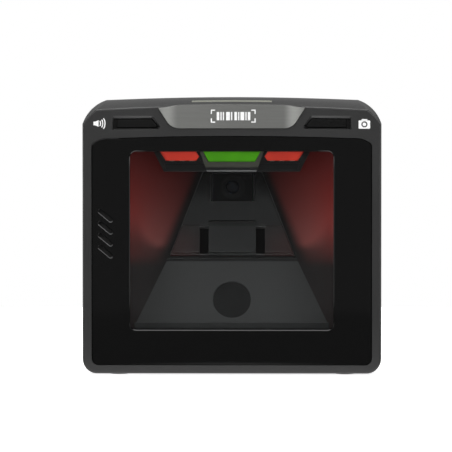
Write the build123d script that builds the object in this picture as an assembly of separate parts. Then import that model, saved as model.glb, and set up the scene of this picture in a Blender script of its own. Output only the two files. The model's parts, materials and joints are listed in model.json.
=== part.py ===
from build123d import *
from math import cos, radians, sin, tan
from types import SimpleNamespace
import os

# Single-plane presentation barcode scanner, millimetres.
# +Z is up, the scan window faces -Y, and the origin is under the middle of the body, on the counter.

# Overall form
WIDTH = 153.0
DEPTH = 85.0
BASE = 0.8  # the rubber feet hold the underside this far above the counter
REAR = DEPTH / 2
BADGE_PROUD = 0.5
FRONT = -DEPTH / 2 + BADGE_PROUD  # the bezel's front face; the nameplate stands proud of it
SPLIT = -20.0  # the joint between the front bezel and the rear housing
WALL = 2.4

# Front mask, window and scan chamber
MASK_RECESS = 0.4
MASK_THICK = 3.0
MASK_LIP = 1.0
MASK_Y = FRONT + MASK_RECESS
MASK_BACK = MASK_Y + MASK_THICK
GLASS_Y = MASK_Y + MASK_LIP
WINDOW_W = 103.7
WINDOW_LOW = BASE + 22.3
WINDOW_TOP = BASE + 113.3
WINDOW_MID = (WINDOW_LOW + WINDOW_TOP) / 2
WINDOW_H = WINDOW_TOP - WINDOW_LOW
WINDOW_R = 3.2
PANE_RIM = 3.0  # how far the pane reaches behind the mask
GASKET = 0.8
LEDGE = 1.6
CHAMBER_Y = MASK_BACK + GASKET
FLANGE = 1.8
SKIN = 1.8  # chamber wall
MOUTH_HALF = WINDOW_W / 2 + 0.65  # half the chamber's width at its mouth
WALL_RUN = 1.30  # sideways run of a chamber side wall for each unit of depth
SILL_DEPTH = 2.0
RAMP_LOW = WINDOW_LOW + 3.5
RAMP_DEPTH = 2.7  # depth of the lower ramp's bottom edge behind the chamber's mouth
RAMP_LEAN = 20.4  # degrees back from upright
DECK_LOW = BASE + 59.4
DECK_DEPTH = RAMP_DEPTH + (DECK_LOW - RAMP_LOW) * tan(radians(RAMP_LEAN))
DECK_LEAN = 16.7
DECK_FOOT = 0.5  # the deck's lower edge, up the slope from the fold
DECK_SEAT = -4.0  # where the deck's screws seat, behind its face
DECK_Y = CHAMBER_Y + DECK_DEPTH
TOP_DEPTH = DECK_DEPTH + (WINDOW_TOP - DECK_LOW) * tan(radians(DECK_LEAN))
SENSOR_Z = BASE + 37.2
SENSOR_R = 9.7

# Brow: nameplate, keys and the board behind them
KEY_TRAVEL = 0.8
KEY_BEVEL = 1.1
KEY_Y = FRONT + 1.6
BROW_WALL = 2.4
BROW_BOARD_Y = FRONT + 10.0
BROW_Z = BASE + 128.0
SWITCH_X = 48.5
SWITCH_TOP = BROW_BOARD_Y - 3.5
BOARD = 1.6
LED_THICK = 1.0

# Light bar, hung from the top of the window
BAR_LOW = BASE + 103.0
BAR_FRONT = CHAMBER_Y + 1.4
BAR_BACK = CHAMBER_Y + 8.6
TONGUE_FRONT = CHAMBER_Y + 0.2
LIGHT_BOARD = 1.2

# Camera
CAMERA_Z = BASE + 95.2
CAMERA_Y = -6.5
CAMERA_LENGTH = 14.5
CAMERA_SCREWS = [(x, CAMERA_Z - 5.0) for x in (-14.6, 14.6)]
DECK_SCREWS = [(x, 5.0) for x in (-26.0, 26.0)]  # across, and up the deck's slope
SENSOR_SCREWS = (-13.5, 13.5)

# Speaker behind the mask's left margin
SPEAKER_X = -62.9
SPEAKER_Z = BASE + 71.4
SPEAKER_W = 10.8
SPEAKER_H = 30.0
SPEAKER_DEPTH = 5.0
MESH = 0.3
SPEAKER_Y = MASK_BACK + MESH + 1.0
SLOTS = [(-64.4, SPEAKER_Z + 6.1 * (i - 1.5)) for i in range(4)]

# Electronics on the floor of the housing
FLOOR = BASE + WALL
BOARD_Z = FLOOR + 4.0
BOARD_TOP = BOARD_Z + BOARD
BOARD_X = 42.0
BOARD_Y = (-14.0, 34.0)
STANDOFFS = [(x, y) for x in (-37.5, 37.5) for y in (-9.0, 27.0)]
FLEX_Y = -12.3  # where the camera's flat cable meets the main board
PORT_X = 14.0
PORT_W = 16.0
PORT_H = 13.5
PORT_Y = (24.0, REAR - 0.4)

# Fasteners, feet and mounting points
CASE_SCREWS = [(x, z) for x, z in ((-50, 9.0), (50, 9.0), (-45, 120.8), (45, 120.8))]
SEAT_Y = SPLIT + 6.0
CHAMBER_SCREWS = [(x, z) for x in (-69.4, 69.4) for z in (32.0, 103.0)]
CHAMBER_POST = 6.0
BROW_SCREWS = [(x, BROW_Z + 0.8) for x in (-65.2, -27.5, 27.5, 65.2)]
FEET = [(x, y) for x in (-58, 58) for y in (-30, 24)]
FOOT_R = 5.5
INSERTS = [(x, y) for x in (-30, 30) for y in (-2, 18)]
INSERT_CORE = 1.65  # tapping radius of an M4 thread


# ---- Helpers ----


def block(x, y, z):
    """A box given by its low and high coordinates on each axis."""
    spans = (x, y, z)
    return Pos(*[(a + b) / 2 for a, b in spans]) * Box(*[b - a for a, b in spans])


def rod(x, z, radius, y0, y1):
    """A round bar along Y."""
    return Pos(x, (y0 + y1) / 2, z) * Rot(90, 0, 0) * Cylinder(radius, y1 - y0)


def post(x, y, radius, z0, z1):
    """A round bar along Z."""
    return Pos(x, y, (z0 + z1) / 2) * Cylinder(radius, z1 - z0)


def slab(sketch, y0, y1):
    """A front-view sketch (x across, z up) made solid between two depths."""
    plane = Plane(origin=(0, y1, 0), x_dir=(1, 0, 0), z_dir=(0, -1, 0))
    return extrude(plane * sketch, y1 - y0)


def polygon(*points):
    return make_face(Polyline(*points, close=True))


def mirrored(shape):
    return mirror(shape, about=Plane.YZ)


def joined(shapes):
    whole = shapes[0]
    for shape in shapes[1:]:
        whole = whole + shape
    return whole


def arched(half, low, radius, side, shoulder_x, shoulder_z, crown, bulge):
    """A closed outline (x, z): round lower corners, straight sides, softened shoulders, arched top."""
    nook = radius * (1 - cos(radians(45)))
    run, rise = half - shoulder_x, shoulder_z - side
    chord = (run**2 + rise**2) ** 0.5
    mid_x = (half + shoulder_x) / 2 + bulge * rise / chord
    mid_z = (side + shoulder_z) / 2 + bulge * run / chord
    lines = (
        Line((radius - half, low), (half - radius, low))
        + ThreePointArc((half - radius, low), (half - nook, low + nook), (half, low + radius))
        + Line((half, low + radius), (half, side))
        + ThreePointArc((half, side), (mid_x, mid_z), (shoulder_x, shoulder_z))
        + ThreePointArc((shoulder_x, shoulder_z), (0, crown), (-shoulder_x, shoulder_z))
        + ThreePointArc((-shoulder_x, shoulder_z), (-mid_x, mid_z), (-half, side))
        + Line((-half, side), (-half, low + radius))
        + ThreePointArc((-half, low + radius), (nook - half, low + nook), (radius - half, low))
    )
    return make_face(lines)


# The body's outer form, as cross-sections from front to rear. Heights are above the underside.
FORM = [
    SimpleNamespace(y=FRONT, half=75.8, side=127.6, sx=69.7, sz=134.3, top=136.4, bulge=0.3, radius=7.0),
    SimpleNamespace(y=FRONT + 6, half=76.5, side=127.4, sx=66.1, sz=137.2, top=139.5, bulge=1.7, radius=7.2),
    SimpleNamespace(y=-22.0, half=76.5, side=128.8, sx=65.0, sz=140.2, top=141.7, bulge=2.1, radius=7.6),
    SimpleNamespace(y=10.0, half=73.0, side=123.0, sx=60.4, sz=137.2, top=138.9, bulge=2.8, radius=9.0),
    SimpleNamespace(y=REAR, half=64.4, side=112.0, sx=50.8, sz=129.5, top=131.2, bulge=3.4, radius=10.0),
]


def form(inset=0.0):
    """The body's outer form, or the same form shrunk by a wall thickness."""
    faces = []
    for s in FORM:
        outline = arched(
            s.half - inset,
            BASE + inset,
            s.radius - inset,
            BASE + s.side - 0.4 * inset,
            s.sx - 0.45 * inset,
            BASE + s.sz - inset,
            BASE + s.top - inset,
            s.bulge,
        )
        plane = Plane(origin=(0, s.y, 0), x_dir=(1, 0, 0), z_dir=(0, -1, 0))
        faces.append(plane * outline)
    return loft(faces)


def between(shape, y0, y1):
    return shape & block((-WIDTH, WIDTH), (y0, y1), (-10, 200))


def mask_outline(inset=0.0):
    side = BASE + 116.8 - 0.4 * inset
    shape = arched(
        71.5 - inset,
        BASE + 4.2 + inset,
        3.6,
        side,
        62.5 - 0.45 * inset,
        BASE + 120.0 - inset,
        BASE + 121.2 - inset,
        0.95,
    )
    return fillet(shape.vertices().filter_by(lambda v: abs(v.Y - side) < 0.01), 3.0)


def window_outline(grow=0.0):
    shape = RectangleRounded(WINDOW_W + 2 * grow, WINDOW_H + 2 * grow, WINDOW_R + grow)
    return Pos(0, WINDOW_MID) * shape


def screw(x, z, seat, length, radius, head_radius, head):
    """A pan-head screw with a cross recess, its head on the +Y side of its seat."""
    body = rod(x, z, radius, seat - length, seat) + rod(x, z, head_radius, seat, seat + head)
    body = fillet(body.faces().sort_by(Axis.Y)[-1].edges(), 0.4 * head)
    arm, reach = 0.28 * head_radius, 0.62 * head_radius
    deep = (seat + 0.35 * head, seat + head + 1)
    return (
        body
        - block((x - reach, x + reach), deep, (z - arm / 2, z + arm / 2))
        - block((x - arm / 2, x + arm / 2), deep, (z - reach, z + reach))
    )


# ---- Casing ----


def nameplate_outline(grow=0.0):
    """A trapezoid with soft lower corners; its upper edge arches over the brow and dips to each tip."""
    low, foot = BASE + 124.8 - grow, 30.9 + grow
    tip_x, tip_z = 37.8 + grow, BASE + 135.6 + grow
    bend_x, bend_z = 25.0, BASE + 137.1 + grow
    middle = ((bend_x + tip_x) / 2, (bend_z + tip_z) / 2)
    fall = TangentArc((bend_x, bend_z), middle, tangent=(1, -0.02))
    dip = fall + TangentArc(middle, (tip_x, tip_z), tangent=fall % 1)
    edges = (
        Polyline((-tip_x, tip_z), (-foot, low), (foot, low), (tip_x, tip_z))
        + dip
        + ThreePointArc((bend_x, bend_z), (0, BASE + 137.4 + grow), (-bend_x, bend_z))
        + mirror(dip, about=Plane.YZ)
    )
    plate = make_face(edges)
    return fillet(plate.vertices().sort_by(Axis.Y)[:2], 7.5)


def key_throat():
    throat = polygon(
        (-60.3, BASE + 130.1),
        (-60.5, BASE + 124.9),
        (-36.0, BASE + 125.0),
        (-40.7, BASE + 130.2),
    )
    return fillet(throat.vertices().sort_by(Axis.X)[2:], 0.9)


def key_hole():
    """The left key's opening, with a bevel that is widest along the top."""
    rim = polygon(
        (-60.6, BASE + 131.5),
        (-61.0, BASE + 124.3),
        (-35.3, BASE + 124.5),
        (-40.1, BASE + 131.4),
    )
    rim = fillet(rim.vertices().sort_by(Axis.X)[2:], 1.3)
    rim = Plane(origin=(0, FRONT, 0), x_dir=(1, 0, 0), z_dir=(0, -1, 0)) * rim
    deep = FRONT + KEY_BEVEL
    throat = Plane(origin=(0, deep, 0), x_dir=(1, 0, 0), z_dir=(0, -1, 0)) * key_throat()
    return loft([rim, throat], ruled=True) + slab(key_throat(), deep, FRONT + 4)


def light_slot():
    """The strip of top surface that the status light shows through."""
    return block((-20.6, 20.6), (FRONT + 4.0, FRONT + 6.4), (BASE + 130, BASE + 150))


def front_bezel(outer, inner):
    mask_hole = slab(mask_outline(), FRONT - 1, MASK_BACK)
    through = slab(mask_outline(3.0), MASK_BACK - 1, MASK_BACK + LEDGE + 1)
    brow = block((-WIDTH, WIDTH), (FRONT + BROW_WALL, MASK_BACK + LEDGE), (BASE + 123.4, 200))
    shell = between(outer, FRONT, SPLIT)
    front_edges = shell.faces().sort_by(Axis.Y)[0].edges()
    shell = fillet(front_edges, 0.9)
    shell = shell - between(inner, MASK_BACK + LEDGE, SPLIT) - (inner & brow) - mask_hole - through
    ledge = MASK_BACK + LEDGE
    posts = [rod(x, z, 4.0, ledge, SPLIT) for x, z in CASE_SCREWS]
    posts += [rod(x, z, 3.0, ledge, ledge + CHAMBER_POST) for x, z in CHAMBER_SCREWS]
    posts += [rod(x, z, 2.2, FRONT + BROW_WALL, BROW_BOARD_Y) for x, z in BROW_SCREWS]
    shell = shell + (joined(posts) & outer)
    cuts = [rod(x, z, 1.25, SPLIT - 12, SPLIT + 1) for x, z in CASE_SCREWS]
    cuts += [rod(x, z, 1.0, MASK_BACK + LEDGE + 1, 0) for x, z in CHAMBER_SCREWS]
    cuts += [rod(x, z, 0.8, BROW_BOARD_Y - 5, 0) for x, z in BROW_SCREWS]
    cuts += [post(x, y, FOOT_R + 0.1, 0, BASE + 1.2) for x, y in FEET if y < SPLIT]
    cuts += [key_hole(), mirrored(key_hole()), light_slot()]
    cuts += [slab(nameplate_outline(0.1), FRONT - 1, FRONT + 0.8)]
    return shell - joined(cuts) - seam(outer)


def seam(outer):
    """The seal's groove and the fine shadow line around the joint between the two shells."""
    groove = between(form(0.8) - form(1.6), SPLIT - 0.5, SPLIT + 0.5)
    line = between(outer - form(0.35), SPLIT - 0.3, SPLIT + 0.3)
    return groove + line


def housing_seal():
    return between(form(0.82) - form(1.58), SPLIT - 0.5, SPLIT + 0.5)


def rear_housing(outer, inner):
    shell = between(outer, SPLIT, REAR)
    shell = fillet(shell.faces().sort_by(Axis.Y)[-1].edges(), 4.0)
    shell = shell - between(inner, SPLIT, REAR - WALL)
    tubes = [rod(x, z, 4.6, SPLIT, REAR - 0.5) for x, z in CASE_SCREWS]
    pillars = [post(x, y, 3.0, FLOOR - 0.5, BOARD_Z) for x, y in STANDOFFS]
    sleeves = [post(x, y, 4.4, FLOOR - 0.5, BOARD_Z - 0.6) for x, y in INSERTS]
    shell = shell + (joined(tubes) & form(1.0)) + joined(pillars + sleeves)
    wells = [rod(x, z, 3.2, SEAT_Y, REAR + 1) for x, z in CASE_SCREWS]
    wells += [rod(x, z, 1.7, SPLIT - 1, SEAT_Y + 1) for x, z in CASE_SCREWS]
    cuts = wells + [post(x, y, 0.9, BOARD_Z - 3.5, BOARD_Z + 1) for x, y in STANDOFFS]
    cuts += [post(x, y, FOOT_R + 0.1, 0, BASE + 1.2) for x, y in FEET if y > SPLIT]
    cuts += [post(x, y, 2.8, 0, BOARD_Z - 1.6) for x, y in INSERTS]
    cuts += [port_cutout(-PORT_X), port_cutout(PORT_X)]
    label = Pos(0, BASE + 80) * RectangleRounded(62, 38, 2.5)
    cuts += [slab(label, REAR - 0.5, REAR + 1)]
    rib = (REAR - 0.6, REAR + 1), (BASE + 34, BASE + 46)
    cuts += [block((x - 0.8, x + 0.8), *rib) for x in range(-26, 27, 4)]
    return shell - joined(cuts) - seam(outer)


def port_cutout(x):
    hole = block(
        (x - PORT_W / 2 - 0.2, x + PORT_W / 2 + 0.2),
        (REAR - 6, REAR + 1),
        (BOARD_TOP - 0.2, BOARD_TOP + PORT_H + 0.2),
    )
    return fillet(hole.edges().filter_by(Axis.Y), 0.6)


def nameplate():
    plate = slab(nameplate_outline(), -DEPTH / 2, FRONT + 0.8)
    return chamfer(plate.faces().sort_by(Axis.Y)[0].edges(), 0.3)


def status_light_pipe(outer):
    strip = outer & block((-20.5, 20.5), (FRONT + 4.1, FRONT + 6.3), (BASE + 131, BASE + 150))
    foot = block((-16, 16), (FRONT + 4.5, BROW_BOARD_Y - LED_THICK - 0.1), (BROW_Z - 1.4, BROW_Z + 4.0))
    return strip + foot


# ---- Front mask, window and speaker ----


def speaker_slot(x, z):
    """A slanting slot whose bevelled rim catches the light."""
    place = Pos(x, z) * Rot(0, 0, -40)
    bevel = 0.35
    rim = Plane(origin=(0, MASK_Y, 0), x_dir=(1, 0, 0), z_dir=(0, -1, 0)) * place * SlotOverall(9.4, 2.6)
    deep = MASK_Y + bevel
    throat = Plane(origin=(0, deep, 0), x_dir=(1, 0, 0), z_dir=(0, -1, 0)) * place * SlotOverall(8.7, 1.9)
    return loft([rim, throat], ruled=True) + slab(place * SlotOverall(8.7, 1.9), deep, MASK_BACK + 1)


def front_mask():
    plate = slab(mask_outline(0.12), MASK_Y, MASK_BACK)
    plate = chamfer(plate.faces().sort_by(Axis.Y)[0].edges(), 0.3)
    plate = plate - slab(window_outline(PANE_RIM), GLASS_Y, MASK_BACK + 1)
    rim = Plane(origin=(0, MASK_Y, 0), x_dir=(1, 0, 0), z_dir=(0, -1, 0)) * window_outline(0.45)
    throat = Plane(origin=(0, MASK_Y + 0.45, 0), x_dir=(1, 0, 0), z_dir=(0, -1, 0)) * window_outline()
    plate = plate - loft([rim, throat], ruled=True) - slab(window_outline(), MASK_Y, GLASS_Y + 1)
    return plate - joined([speaker_slot(x, z) for x, z in SLOTS])


def scan_window():
    return slab(window_outline(PANE_RIM - 0.1), GLASS_Y, MASK_BACK)


def window_gasket():
    return slab(window_outline(PANE_RIM - 0.2) - window_outline(0.8), MASK_BACK, CHAMBER_Y)


def speaker_box(y0, y1, inset=0.0):
    shape = RectangleRounded(SPEAKER_W - 2 * inset, SPEAKER_H - 2 * inset, 2.4 - inset)
    return slab(Pos(SPEAKER_X, SPEAKER_Z) * shape, y0, y1)


def speaker_mesh():
    return speaker_box(MASK_BACK, MASK_BACK + MESH, 0.4)


def speaker_gasket():
    return speaker_box(MASK_BACK + MESH, SPEAKER_Y) - speaker_box(MASK_BACK, SPEAKER_Y + 1, 1.2)


def speaker_frame():
    basket = speaker_box(SPEAKER_Y - 1, SPEAKER_Y + 2.5, 1.2)
    return speaker_box(SPEAKER_Y, SPEAKER_Y + SPEAKER_DEPTH) - basket


def speaker_cone():
    rim = speaker_box(SPEAKER_Y + 0.8, SPEAKER_Y + 1.2, 1.2)
    dome = speaker_box(SPEAKER_Y + 0.4, SPEAKER_Y + 0.8, 2.3)
    return rim + dome


# ---- Scan chamber ----


def chamber_plan(grow):
    """The chamber seen from above: it narrows towards the back."""
    half = MOUTH_HALF + grow * 1.26
    depth = TOP_DEPTH + grow + 4
    back = half - WALL_RUN * depth
    far = CHAMBER_Y + depth
    return extrude(polygon((-half, CHAMBER_Y), (half, CHAMBER_Y), (back, far), (-back, far)), 200)


def chamber_side(grow):
    """The chamber seen from the side: sill, lower ramp, then the steeper plane of the camera deck."""
    y0 = CHAMBER_Y
    lift = grow / cos(radians(RAMP_LEAN))
    deck = grow / cos(radians(DECK_LEAN))
    side = polygon(
        (y0, WINDOW_LOW - grow),
        (y0 + SILL_DEPTH + grow, WINDOW_LOW - grow),
        (y0 + SILL_DEPTH + grow, RAMP_LOW - grow),
        (y0 + RAMP_DEPTH + lift, RAMP_LOW),
        (y0 + DECK_DEPTH + (lift + deck) / 2, DECK_LOW),
        (y0 + TOP_DEPTH + deck + grow * tan(radians(DECK_LEAN)), WINDOW_TOP + grow),
        (y0, WINDOW_TOP + grow),
    )
    return extrude(Plane(origin=(-100, 0, 0), x_dir=(0, 1, 0), z_dir=(1, 0, 0)) * side, 200)


DECK_PLANE = Plane(
    origin=(0, DECK_Y, DECK_LOW),
    x_dir=(1, 0, 0),
    z_dir=(0, -cos(radians(DECK_LEAN)), sin(radians(DECK_LEAN))),
)
RAMP_PLANE = Plane(
    origin=(0, CHAMBER_Y + RAMP_DEPTH + (SENSOR_Z - RAMP_LOW) * tan(radians(RAMP_LEAN)), SENSOR_Z),
    x_dir=(1, 0, 0),
    z_dir=(0, -cos(radians(RAMP_LEAN)), sin(radians(RAMP_LEAN))),
)


def on_plane(plane, sketch, low, high):
    """A sketch on a sloping plane made solid between two heights above that plane."""
    return extrude(plane.offset(low) * sketch, high - low)


def deck_face(low, high, gap):
    """The strip of the deck's plane between two heights up the slope, clear of the side walls by a gap."""
    slope = WALL_RUN * sin(radians(DECK_LEAN))
    half = MOUTH_HALF - WALL_RUN * DECK_DEPTH - gap
    near, far = half - slope * low, half - slope * high
    return polygon((-near, low), (near, low), (far, high), (-far, high))


DECK_RISE = (WINDOW_TOP - DECK_LOW) / cos(radians(DECK_LEAN))
CAMERA_UP = (CAMERA_Z - DECK_LOW) / cos(radians(DECK_LEAN))


def optics_chamber():
    outer = chamber_plan(SKIN) & chamber_side(SKIN)
    flange = slab(window_outline(PANE_RIM - 0.4), CHAMBER_Y, CHAMBER_Y + FLANGE)
    cavity = chamber_plan(0) & chamber_side(0)
    shell = outer + flange
    for x, z in CHAMBER_SCREWS:
        side = 1 if x > 0 else -1
        ear_y = MASK_BACK + LEDGE + CHAMBER_POST
        near, far = sorted((side * 53.4, side * 72.4))
        shell = shell + block((near, far), (ear_y, ear_y + 1.6), (z - 4, z + 4))
        near, far = sorted((side * 53.4, side * 55.0))
        shell = shell + block((near, far), (CHAMBER_Y + 1, ear_y + 1.6), (z - 4, z + 4))
    shell = shell - cavity
    shell = shell - on_plane(DECK_PLANE, deck_face(DECK_FOOT - 0.6, DECK_RISE + 6, 0.3), -9, 3)
    groove_up = (BASE + 57.8 - SENSOR_Z) / cos(radians(RAMP_LEAN))
    shell = shell - on_plane(RAMP_PLANE, Pos(0, groove_up) * Rectangle(66, 0.5), -0.7, 3)
    shell = shell - on_plane(RAMP_PLANE, Circle(SENSOR_R + 0.05), -6, 3)
    ledge = on_plane(RAMP_PLANE, Circle(SENSOR_R + 2.0) - Circle(SENSOR_R - 1.6), -4.0, -2.1)
    tube = Circle(2.0) - Circle(0.7)
    posts = [on_plane(RAMP_PLANE, Pos(x, 0) * tube, -8.0, -3.0) for x in SENSOR_SCREWS]
    pads = [on_plane(RAMP_PLANE, Pos(x, 0) * Circle(3.2), -3.0, -1.0) for x in SENSOR_SCREWS]
    shell = shell + ledge + joined(posts + pads)
    for side in (-1, 1):
        tab = on_plane(DECK_PLANE, Pos(side * 29.0, 5.0) * Rectangle(10, 5), DECK_SEAT, -2.2)
        root = on_plane(DECK_PLANE, Pos(side * 32.9, 5.0) * Rectangle(2.6, 5), DECK_SEAT, -0.5)
        shell = shell + tab + root
    shell = shell - joined([on_plane(DECK_PLANE, Pos(x, y) * Circle(1.15), -8, 0) for x, y in DECK_SCREWS])
    shell = shell - joined([rod(x, z, 1.3, -60, 0) for x, z in CHAMBER_SCREWS])
    passage = block((22, 32), (CHAMBER_Y + 6.0, CHAMBER_Y + 13.0), (WINDOW_TOP - 5, WINDOW_TOP + 6))
    return shell - passage


def camera_deck():
    """The panel in the back of the chamber: camera window above, stepped pads and two slots below."""
    thick, gap, step = 2.0, 0.5, 16.2
    plate = on_plane(DECK_PLANE, deck_face(DECK_FOOT, DECK_RISE - 0.6, gap), -thick, 0)
    pads = on_plane(DECK_PLANE, deck_face(DECK_FOOT + 0.8, step, gap), 0, 1.2)
    pads = chamfer(pads.faces().sort_by(Axis((0, 0, 0), DECK_PLANE.z_dir))[-1].edges(), 0.45)
    block_top = Pos(0, (step + 2.6) / 2) * RectangleRounded(24.4, step - 0.6, 1.2)
    middle = on_plane(DECK_PLANE, block_top, 0, 2.6)
    deck = plate + pads + middle
    slots = [on_plane(DECK_PLANE, Pos(x, 8.2) * Rectangle(4.8, 14.0), -3, 3) for x in (-14.6, 14.6)]
    slots.append(on_plane(DECK_PLANE, Pos(0, step + 2.2) * RectangleRounded(24.4, 1.8, 0.8), -1.2, 3))
    window = on_plane(DECK_PLANE, Pos(0, CAMERA_UP) * RectangleRounded(23.0, 15.6, 0.8), -3, 3)
    deck = deck - joined(slots) - window
    deck = deck - joined([on_plane(DECK_PLANE, Pos(x, y) * Circle(1.0), -3, 0.8) for x, y in DECK_SCREWS])
    posts = [rod(x, z, 2.2, DECK_Y + 2, CAMERA_Y + 2) for x, z in CAMERA_SCREWS]
    behind = on_plane(DECK_PLANE, Rectangle(200, 200), -80, -thick + 0.2)
    deck = deck + (joined(posts) & behind)
    return deck - joined([rod(x, z, 0.8, CAMERA_Y - 2, CAMERA_Y + 3) for x, z in CAMERA_SCREWS])


def sensor_window():
    return on_plane(RAMP_PLANE, Circle(SENSOR_R), -2.1, -0.6)


def sensor_board():
    holes = [Pos(x, 0) * Circle(0.75) for x in SENSOR_SCREWS]
    return on_plane(RAMP_PLANE, RectangleRounded(32, 12, 1) - holes, -9.2, -8.0)


def sensor_chip():
    return on_plane(RAMP_PLANE, Rectangle(6, 4), -8.0, -6.4) + on_plane(RAMP_PLANE, Circle(1.2), -6.4, -5.6)


# ---- Light bar ----


def lens_outline(kind, inset=0.0, high=WINDOW_TOP - 0.05):
    """Front-view outline of the left red lens or the green lens."""
    if kind == "green":
        top, foot, low = 14.7 - inset, 12.0 - inset, BASE + 107.9 + inset
        return polygon((-top, high), (-foot, low), (foot, low), (top, high))
    low = BASE + 108.5 + inset
    return polygon(
        (-37.0 + inset, high),
        (-33.9 + inset, low),
        (-18.2 - inset, low),
        (-16.6 - inset, BASE + 110.8),
        (-18.2 - inset, high),
    )


def light_bar_housing():
    """The bar that hangs from the chamber's roof; its lens pockets are open at the top."""
    wing = slab(bar_outline(40.0, 34.8), BAR_FRONT, BAR_BACK)
    trough = polygon(
        (-34.6, BASE + 107.3),
        (-33.6, BASE + 104.0),
        (33.6, BASE + 104.0),
        (34.6, BASE + 107.3),
    )
    wing = chamfer(lower_front(wing), 0.5) - slab(trough, BAR_FRONT - 1, BAR_FRONT + 1.6)
    tongue = slab(bar_outline(16.4, 12.6), TONGUE_FRONT, BAR_BACK)
    tongue = chamfer(lower_front(tongue), 0.9)
    tongue = tongue - block((-20, 20), (TONGUE_FRONT - 1, TONGUE_FRONT + 0.5), (BASE + 104.4, BASE + 104.8))
    red = slab(lens_outline("red", high=WINDOW_TOP + 0.1), TONGUE_FRONT - 2, BAR_BACK)
    green = slab(lens_outline("green", high=WINDOW_TOP + 0.1), TONGUE_FRONT - 2, BAR_BACK)
    board = slab(board_outline(0.0), BAR_BACK - LIGHT_BOARD, BAR_BACK + 1)
    return wing + tongue - red - mirrored(red) - green - board


def bar_outline(top, low):
    """The light bar's tapering front view, hung from the top of the window."""
    return polygon((-top, WINDOW_TOP), (-low, BAR_LOW), (low, BAR_LOW), (top, WINDOW_TOP))


def board_outline(inset):
    top, low = WINDOW_TOP - 0.8 - inset, BAR_LOW + 2.0 + inset
    return polygon((inset - 37, top), (inset - 33, low), (33 - inset, low), (37 - inset, top))


def lower_front(shape):
    """The bottom edge of a block's front face."""
    return shape.faces().sort_by(Axis.Y)[0].edges().sort_by(Axis.Z)[:1]


def bar_lens(kind):
    front = TONGUE_FRONT + 0.3 if kind == "green" else BAR_FRONT + 0.3
    lens = slab(lens_outline(kind, 0.12), front, front + 1.6)
    return chamfer(lens.faces().sort_by(Axis.Y)[0].edges(), 0.25)


def led_board():
    return slab(board_outline(0.2), BAR_BACK - LIGHT_BOARD, BAR_BACK)


def lighting_leds():
    places = [-31.0, -25.5, -20.5, -8.0, 0.0, 8.0, 20.5, 25.5, 31.0]
    depth = (BAR_BACK - LIGHT_BOARD - LED_THICK, BAR_BACK - LIGHT_BOARD)
    return Compound([block((x - 1.4, x + 1.4), depth, (BASE + 108.6, BASE + 111.4)) for x in places])


# ---- Camera ----


def camera_body():
    case = block((-10.4, 10.4), (CAMERA_Y, CAMERA_Y + CAMERA_LENGTH), (CAMERA_Z - 8.4, CAMERA_Z + 8.4))
    case = fillet(case.edges().filter_by(Axis.Y), 1.2)
    return case - rod(0, CAMERA_Z, 5.0, CAMERA_Y - 1, CAMERA_Y + 8)


def camera_barrel():
    tube = rod(0, CAMERA_Z, 5.0, CAMERA_Y, CAMERA_Y + 8) + rod(0, CAMERA_Z, 6.4, CAMERA_Y - 2.4, CAMERA_Y)
    bore = rod(0, CAMERA_Z, 3.6, CAMERA_Y - 3, CAMERA_Y + 9)
    mouth = rod(0, CAMERA_Z, 5.2, CAMERA_Y - 3, CAMERA_Y - 1.4)
    return tube - bore - mouth


def camera_lens():
    front = rod(0, CAMERA_Z, 3.6, CAMERA_Y - 1.2, CAMERA_Y + 1.2)
    dome = Pos(0, CAMERA_Y + 5.6, CAMERA_Z) * Sphere(7.2)
    return front & dome


def camera_board():
    y = CAMERA_Y + CAMERA_LENGTH
    return block((-10.8, 10.8), (y, y + 1.2), (CAMERA_Z - 10, CAMERA_Z + 9))


def camera_bracket():
    back = CAMERA_Y + CAMERA_LENGTH + 1.2
    low, high = CAMERA_Z - 8.0, CAMERA_Z + 8.0
    strap = block((-12.4, 12.4), (back, back + 1), (low, high))
    for side in (-1, 1):
        near, far = sorted((side * 11.4, side * 12.4))
        strap = strap + block((near, far), (CAMERA_Y + 2, back + 1), (low, high))
        near, far = sorted((side * 11.4, side * 17.4))
        strap = strap + block((near, far), (CAMERA_Y + 2, CAMERA_Y + 3), (low, CAMERA_Z - 2))
    return strap - joined([rod(x, z, 1.1, CAMERA_Y + 1, CAMERA_Y + 4) for x, z in CAMERA_SCREWS])


def camera_screws():
    return Compound([screw(x, z, CAMERA_Y + 3, 3.4, 0.78, 1.8, 1.2) for x, z in CAMERA_SCREWS])


# ---- Keys ----


def key():
    """The left key: the cap in its opening, a flange that stops it, and a stem that meets the switch."""
    wall = FRONT + BROW_WALL
    face = polygon(
        (-58.4, BASE + 129.7),
        (-58.7, BASE + 125.3),
        (-36.9, BASE + 125.4),
        (-41.0, BASE + 129.8),
    )
    cap = slab(fillet(face.vertices(), 0.9), KEY_Y, wall + 0.9)
    cap = fillet(cap.faces().sort_by(Axis.Y)[0].edges(), 0.4)
    flange = block((-61.5, -35.2), (wall + 0.05, wall + 0.9), (BASE + 124.0, BASE + 131.4))
    stem = rod(-SWITCH_X, BROW_Z, 1.6, wall + 0.5, SWITCH_TOP - 1.0)
    return cap + flange + stem


def switch_plunger():
    return rod(-SWITCH_X, BROW_Z, 1.72, SWITCH_TOP - 1.0, SWITCH_TOP + 1.2)


def switch_body():
    x, z = -SWITCH_X, BROW_Z
    case = block((x - 3, x + 3), (SWITCH_TOP, BROW_BOARD_Y), (z - 3, z + 3))
    case = chamfer(case.edges().filter_by(Axis.Y), 0.5)
    return case - rod(x, z, 1.8, SWITCH_TOP - 1, SWITCH_TOP + 1.4 + KEY_TRAVEL)


def brow_board():
    board = block((-68.0, 68.0), (BROW_BOARD_Y, BROW_BOARD_Y + BOARD), (BASE + 124.4, BASE + 131.6))
    return board - joined([rod(x, z, 1.0, -60, 0) for x, z in BROW_SCREWS])


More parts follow.
